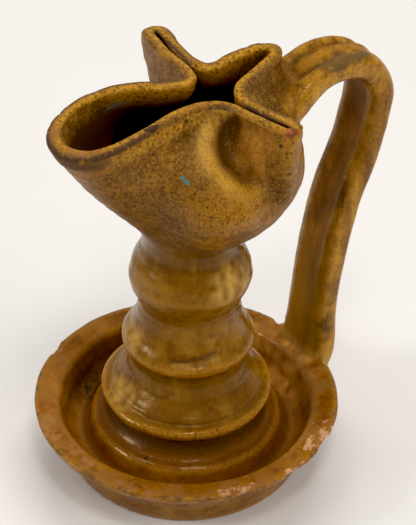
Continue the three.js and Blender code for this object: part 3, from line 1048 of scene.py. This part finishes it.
class Shade:
    """Short calls for one material's nodes, its colour so far and the noises that layers share."""

    def __init__(self, material):
        self.nodes = material.node_tree.nodes
        self.links = material.node_tree.links
        self.place = self.nodes.new("ShaderNodeTexCoord").outputs["Object"]
        self.colour = None
        self.streaks = self.noise(9, detail=4, rough=0.6, stretch=(1, 1, 0.4))
        self.fine = self.noise(1.3, detail=4, rough=0.7)
        self.ragged = self.noise(3.2, detail=4, rough=0.65)

    def put(self, socket, value):
        if isinstance(value, bpy.types.NodeSocket):
            self.links.new(value, socket)
        else:
            socket.default_value = value

    def node(self, kind, output, inputs, **settings):
        """Output of a new node with these settings and inputs."""
        node = self.nodes.new("ShaderNode" + kind)
        for name, value in settings.items():
            setattr(node, name, value)
        for socket, value in inputs.items():
            self.put(node.inputs[socket], value)
        return node.outputs[output]

    def mask(self, name):
        return self.node("Attribute", "Fac", {}, attribute_name=name)

    def noise(self, size, detail=3.0, rough=0.55, stretch=(1, 1, 1)):
        """Noise from 0 to 1 with features of about that many millimetres."""
        scale = [k / (size * MM) for k in stretch]
        place = self.node("Mapping", "Vector", {"Vector": self.place, "Scale": scale})
        inputs = {"Vector": place, "Scale": 1.0, "Detail": detail, "Roughness": rough}
        return self.node("TexNoise", "Fac", inputs)

    def dots(self, size):
        """Distance from scattered points, as a share of the millimetres between them."""
        return self.node("TexVoronoi", "Distance", {"Vector": self.place, "Scale": 1 / (size * MM)})

    def spot(self, middle, reach, tilt):
        """1 in the middle of a small ellipsoid, 0 at its edge and beyond."""
        location, scale = [[k * MM for k in values] for values in (middle, reach)]
        rotation = (math.radians(tilt), 0, 0)
        inputs = {"Vector": self.place, "Location": location, "Rotation": rotation, "Scale": scale}
        around = self.node("Mapping", "Vector", inputs, vector_type="TEXTURE")
        return self.node("TexGradient", "Fac", {"Vector": around}, gradient_type="SPHERICAL")

    def math(self, operation, first, *others):
        """The first value, changed by each of the others in turn."""
        for other in others:
            first = self.node("Math", "Value", {0: first, 1: other}, operation=operation)
        return first

    def times(self, *values):
        return self.math("MULTIPLY", *values)

    def most(self, *values):
        return self.math("MAXIMUM", *values)

    def plus(self, *values):
        return self.math("ADD", *values)

    def blend(self, a, b, share):
        """Sum of two values, with that share of the second one."""
        return self.plus(self.times(a, 1 - share), self.times(b, share))

    def step(self, value, low, high):
        """0 at low, 1 at high and smooth between them, whichever of the two is the greater."""
        rises = float(low < high)
        inputs = {
            "Value": value, "From Min": min(low, high), "From Max": max(low, high),
            "To Min": 1 - rises, "To Max": rises,
        }
        return self.node("MapRange", "Result", inputs, interpolation_type="SMOOTHSTEP")

    def patches(self, size, low, high, detail=4, rough=0.65, stretch=(1, 1, 1)):
        """Noise cut into patches between two of its values."""
        return self.step(self.noise(size, detail, rough, stretch), low, high)

    def mix(self, share, a, b):
        """Colour from a to b by the share. The node's colour sockets have these numbers."""
        return self.node("Mix", 2, {"Factor": share, 6: a, 7: b}, data_type="RGBA")

    def lay(self, over, *masks, share=1.0):
        """Lays one more colour where all the masks are, up to a share of its strength."""
        self.colour = self.mix(self.times(*masks, share), self.colour, over)

    def ramp(self, value, low, high, *colours):
        """Colours spread evenly over values from low to high."""
        node = self.nodes.new("ShaderNodeValToRGB")
        self.put(node.inputs["Fac"], value)
        stops = node.color_ramp.elements
        for index, colour in enumerate(colours):
            position = lerp(low, high, index / (len(colours) - 1))
            stop = stops[index] if index < 2 else stops.new(position)
            stop.position = position
            stop.color = colour
        return node.outputs["Color"]


def regions(shade):
    """Glaze of each region, with its burnt patches and paler or darker places, painted shade under the bowl
    and on the strap's inner face, and painted light on the lower strap and on spots of the stem.
    """
    mask, lay, patches = shade.mask, shade.lay, shade.patches
    cloud = shade.blend(shade.noise(26), shade.streaks, 0.5)
    mottled = shade.blend(cloud, shade.fine, 0.5)
    drawn = shade.blend(shade.noise(5, detail=4, rough=0.6, stretch=(1, 1, 0.12)), shade.fine, 0.3)
    stem = shade.ramp(cloud, 0.3, 0.7, OLIVE_DARK, OLIVE, OLIVE_LIGHT)
    bowl = shade.ramp(mottled, 0.38, 0.6, OCHRE_DARK, OCHRE, OCHRE_LIGHT)
    strap = shade.ramp(drawn, 0.36, 0.64, STRAP_DARK, STRAP_MIDDLE, STRAP_LIGHT)
    saucer = shade.ramp(cloud, 0.3, 0.7, AMBER_DARK, AMBER, AMBER_LIGHT)
    inner = shade.mix(patches(6, 0.38, 0.6, rough=0.6, stretch=(1, 1, 0.12)), AMBER_DARK, AMBER)
    shade.colour = stem
    lay(bowl, mask("bowl"))
    lay(strap, mask("strap"))
    lay(saucer, mask("saucer"))
    lay(stem, mask("outer"), share=0.7)
    lay(AMBER_DARK, patches(5, 0.48, 0.64, detail=5, rough=0.7), share=0.6)
    # Painted shade under the bowl, and darker on the bowl's lower part
    lay(OLIVE_DARK, mask("neck"), patches(4, 0.36, 0.62, stretch=(1, 1, 0.2)), share=0.7)
    # Painted shade on the strap's inner face
    lay(inner, mask("strap_inner_shade"), share=0.65)
    # Painted light on the lower strap
    lay(STRAP_LIGHT, mask("strap_low_painted_light"), share=0.45)
    lay(AMBER_DARK, mask("ring"), share=0.8)
    # Pale worn clay in the scar, paler on the press ridge, and painted light on spots of the stem
    lay(PALE_AND_PAINTED_LIGHT, mask("pale_and_painted_light"), shade.step(shade.streaks, 0.3, 0.55))
    lay(DENTED, mask("dented"), shade.step(shade.streaks, 0.34, 0.6))


def pooled_and_painted_light_and_shade(shade):
    """Glaze run dark into the hollows of bowl and strap, painted light in the saucer's hollows and at the
    back of the well, painted shade in the gaps, and thin and golden on the edges, with painted light on the
    strap's root.
    """
    mask, lay, step = shade.mask, shade.lay, shade.step
    # Hollows pool dark on the bowl and the strap; in the saucer they get painted light
    deep = shade.mix(mask("saucer"), shade.mix(mask("bowl"), POOLED_AND_SHADE, OCHRE_DARK), WELL_PAINTED_LIGHT)
    deep = shade.mix(mask("strap"), deep, STRAP_DARK)
    lay(deep, step(mask("hollow"), 0.05, 0.7), share=0.75)
    # Painted shade in the gaps under the lower bead, at the well's corner and inside the lip
    lay(POOLED_AND_SHADE, mask("gap"), share=0.8)
    # Painted light at the back of the well
    lay(PAINTED_BACK_LIGHT, mask("painted_light_well"), step(shade.streaks, 0.2, 0.6))
    lay(THIN, step(mask("hollow"), -0.1, -0.6), step(shade.fine, 0.36, 0.5), share=0.6)
    # Golden glaze, with painted light on the strap's root
    lay(GOLD, mask("gold_and_painted_light"), step(shade.fine, 0.3, 0.75))


def speckled(shade):
    """Fine dark specks, thickest on the bowl, and the pits of the right ear."""
    mask, lay, step = shade.mask, shade.lay, shade.step
    gritty = shade.most(mask("bowl"), 0.3)
    grit = shade.noise(0.8, detail=2, rough=0.6)
    lay(SPECK, step(shade.dots(2.6), 0.17, 0.07), gritty, share=0.5)
    lay(SPECK, step(grit, 0.54, 0.66), gritty, share=0.46)
    lay(GOLD, step(grit, 0.44, 0.34), gritty, share=0.3)
    runs = shade.patches(3.6, 0.54, 0.68, stretch=(1, 1, 0.3))
    lay(OCHRE_LIGHT, runs, mask("bowl"), share=0.5)
    lay(GOLD, mask("pitted"), share=0.35)
    lay(MID_BROWN, step(shade.dots(2.0), 0.38, 0.2), step(mask("pitted"), 0.0, 0.5))


def rubbed_rim(shade):
    return shade.times(shade.mask("rim"), shade.patches(14, 0.44, 0.62, rough=0.55))


def scorched_lip(shade):
    return shade.times(shade.mask("scorch"), shade.step(shade.ragged, 0.3, 0.44))


def broken_glaze(shade):
    ragged_edge = shade.plus(shade.mask("bare"), shade.times(shade.ragged, 0.9))
    return shade.step(ragged_edge, 0.7, 0.85)


def dirt_and_painted_shade(shade):
    """Darker glaze deeper inside the bowl, the strap's stain and scuffs, painted shade along the scar's
    edge and in the dent's crease, the rubbed rim, and painted shade and dirt in the well.
    """
    mask, lay, step, patches = shade.mask, shade.lay, shade.step, shade.patches
    # Darker glaze deeper inside the bowl
    lay(DEEP_BROWN, step(mask("inside_depth"), 0.02, 0.2))
    lay(MID_BROWN, step(mask("inside_depth"), 0.4, 0.95))
    stain = patches(4.5, 0.3, 0.56, stretch=(1, 0.4, 1))
    lay(STAINED, step(mask("strap_stain"), 0.0, 0.4), stain, share=0.9)
    # Painted shade along the scar's edge and in the dent's crease
    lay(SCAR_EDGE_AND_CREASE_SHADE, mask("scar"), share=0.9)
    lay(RIM_CLAY, rubbed_rim(shade), share=0.8)
    lay(WORN_TAN, mask("wear"), step(shade.ragged, 0.38, 0.58))
    # Painted shade on the left side of the well
    lay(POOLED_AND_SHADE, mask("well_shade"), share=0.42)
    dirt = shade.times(mask("dirt"), patches(4.5, 0.38, 0.54))
    scuffs = shade.times(mask("scuffed"), patches(4, 0.3, 0.46, stretch=(1, 1, 0.4)))
    lay(POOLED_AND_SHADE, shade.most(dirt, scuffs), share=0.85)


def worn(shade):
    """Rubbed rim edge, scorched lip, and clay where the glaze is broken off or was never laid."""
    mask, lay = shade.mask, shade.lay
    edge = shade.mix(shade.step(shade.ragged, 0.44, 0.6), WORN_EDGE, WORN_TAN)
    lay(edge, mask("rim_edge"), shade.patches(5, 0.42, 0.54), share=0.8)
    lay(SCORCHED, scorched_lip(shade), share=0.9)
    mottle = shade.step(shade.ragged, 0.45, 0.6)
    on_rim = shade.mix(mottle, RIM_CLAY, BARE_CLAY)
    on_bowl = shade.mix(mottle, RED_CLAY, ORANGE_CLAY)
    lay(shade.mix(mask("bowl"), on_rim, on_bowl), broken_glaze(shade))
    lay(RIM_CLAY, mask("underside"))


def marked(shade):
    """Single small marks, each with a ragged edge."""
    marks = [(mark, [radius] * 3, middle, 0) for mark, radius, middle in ROUND_MARKS]
    ragged = shade.times(shade.math("SUBTRACT", shade.noise(1.6), 0.5), 1.2)
    for mark, reach, middle, tilt in marks + LONG_MARKS:
        spot = shade.spot(middle, reach, tilt)
        edge = shade.times(ragged, shade.step(spot, 0.0, 0.2))
        shade.lay(mark, shade.step(shade.plus(spot, edge), 0.12, 0.34), share=0.85)


def roughness(shade, satin):
    """Glossy, satin on the bowl, sharper on edges and dull where worn, pressed or bare."""
    mask = shade.mask
    cloudy = shade.plus(shade.times(satin, SATIN_ROUGHNESS), shade.times(shade.noise(5), CLOUDY_ROUGHNESS))
    curved = shade.math("ABSOLUTE", mask("hollow"), 0)
    shine = shade.times(shade.step(curved, 0.1, 0.5), EDGE_SHINE)
    rough = shade.plus(cloudy, shade.math("SUBTRACT", ROUGHNESS, shine))
    pressed = shade.times(shade.most(mask("dented"), mask("gap"), mask("strap_inner_shade")), 0.8)
    rubbed = shade.times(rubbed_rim(shade), 0.7)
    dull = shade.most(broken_glaze(shade), rubbed, scorched_lip(shade), pressed, mask("underside"))
    return shade.most(rough, shade.times(dull, DULL_ROUGHNESS))


def glaze_material():
    material = bpy.data.materials.new("lamp_glaze")
    material.use_nodes = True
    shade = Shade(material)
    for layers in (regions, pooled_and_painted_light_and_shade, speckled, dirt_and_painted_shade, worn, marked):
        layers(shade)
    satin = shade.most(shade.mask("bowl"), shade.times(shade.mask("strap"), STRAP_SATIN))
    grit = shade.times(shade.noise(0.9), shade.plus(satin, 0.3))
    height = shade.plus(grit, shade.times(shade.noise(4, detail=2), 1.6))
    bump = {"Height": height, "Strength": BUMP_STRENGTH, "Distance": BUMP_HEIGHT * MM}
    inputs = {
        "Base Color": shade.colour, "Roughness": roughness(shade, satin), "Specular IOR Level": GLOSS_LEVEL,
        "Specular Tint": GLOSS_TINT, "Normal": shade.node("Bump", "Normal", bump),
    }
    for name, value in inputs.items():
        shade.put(shade.nodes["Principled BSDF"].inputs[name], value)
    return material


# The lamp on its stage

def make_lamp():
    skin = Skin(*fired_piece())
    finish_skin(skin)
    skin.mesh.shade_smooth()
    skin.mesh.materials.clear()
    skin.mesh.materials.append(glaze_material())
    return skin.piece


lamp = make_lamp()
make_camera()
make_stage()

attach(lamp, "root")
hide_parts("oil_lamp")
